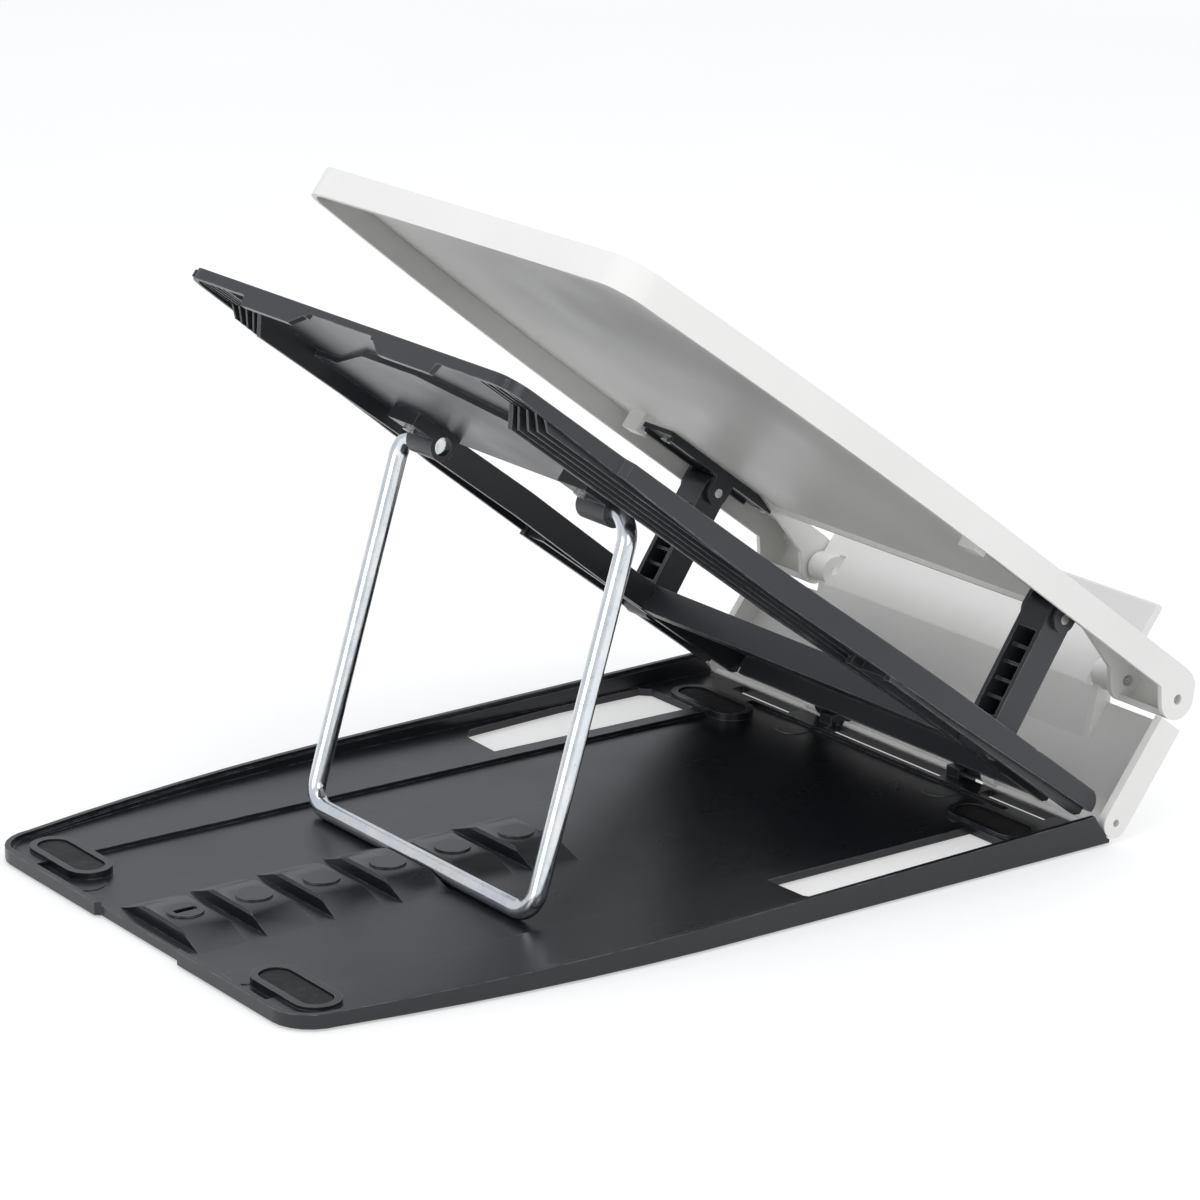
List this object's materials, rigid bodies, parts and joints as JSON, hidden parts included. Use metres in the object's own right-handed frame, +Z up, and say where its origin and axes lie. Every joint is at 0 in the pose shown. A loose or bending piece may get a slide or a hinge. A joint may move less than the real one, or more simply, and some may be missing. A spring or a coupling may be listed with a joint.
{
  "type": "folding laptop stand",
  "caption": "Folding laptop stand: a dark base tray, a tilting frame on a bent wire bail, and a white lid raised on a hinged front panel and two arms.",
  "frame": {"origin": "under the middle of the raised stand's box, on the desk", "axes": "+X to the right seen from the user's side, +Y to the back, +Z up; the frame rises towards +Y"},
  "size_m": [0.26, 0.4214, 0.2588],
  "materials": {
    "dark_plastic": "satin",
    "white_plastic": "matte",
    "rubber": "matte",
    "zinc_wire": "satin",
    "pin_steel": "satin"
  },
  "bodies": {
    "base": {"base_tray": "dark_plastic", "foot_rear_left": "rubber", "foot_rear_right": "rubber", "foot_front_left": "rubber", "foot_front_right": "rubber", "hinge_pin_left": "pin_steel", "hinge_pin_right": "pin_steel"},
    "frame": {"platform_frame": "dark_plastic", "bail_clip_left": "dark_plastic", "bail_clip_right": "dark_plastic", "clip_screws": "pin_steel", "arm_lower_pin_left": "pin_steel", "arm_lower_pin_right": "pin_steel"},
    "bail": {"bail_wire": "zinc_wire"},
    "spine": {"spine_panel": "white_plastic", "lid_pin_left": "pin_steel", "lid_pin_right": "pin_steel"},
    "lid": {"lid_shell": "white_plastic", "lid_rail_left": "dark_plastic", "lid_rail_right": "dark_plastic", "rail_screws": "pin_steel", "arm_upper_pin_left": "pin_steel", "arm_upper_pin_right": "pin_steel"},
    "left_arm": {"arm_left": "dark_plastic"},
    "right_arm": {"arm_right": "dark_plastic"}
  },
  "joints": [
    {"name": "frame_tilt", "type": "hinge", "parent": "base", "child": "frame", "pos_m": [0, -0.1592, 0.0084], "axis": [1, 0, 0], "range_deg": [0, 40]},
    {"name": "bail_swing", "type": "hinge", "parent": "frame", "child": "bail", "pos_m": [0, 0.03984, 0.15304], "axis": [1, 0, 0], "range_deg": [-70.05, 0]},
    {"name": "spine_swing", "type": "hinge", "parent": "frame", "child": "spine", "pos_m": [0, -0.1592, 0.0084], "axis": [1, 0, 0], "range_deg": [-70, 0]},
    {"name": "lid_level", "type": "hinge", "parent": "spine", "child": "lid", "pos_m": [0, -0.18948, 0.05408], "axis": [1, 0, 0], "range_deg": [0, 70]},
    {"name": "left_arm_swing", "type": "hinge", "parent": "frame", "child": "left_arm", "pos_m": [-0.1105, -0.10616, 0.04851], "axis": [1, 0, 0], "range_deg": [-70, 0]},
    {"name": "right_arm_swing", "type": "hinge", "parent": "frame", "child": "right_arm", "pos_m": [0.1105, -0.10616, 0.04851], "axis": [1, 0, 0], "range_deg": [-70, 0]}
  ],
  "couplings": [
    {"joint": "bail_swing", "follows": "frame_tilt", "ratio": -1.75},
    {"joint": "lid_level", "follows": "spine_swing", "ratio": -1},
    {"joint": "left_arm_swing", "follows": "spine_swing", "ratio": 1},
    {"joint": "right_arm_swing", "follows": "spine_swing", "ratio": 1}
  ]
}
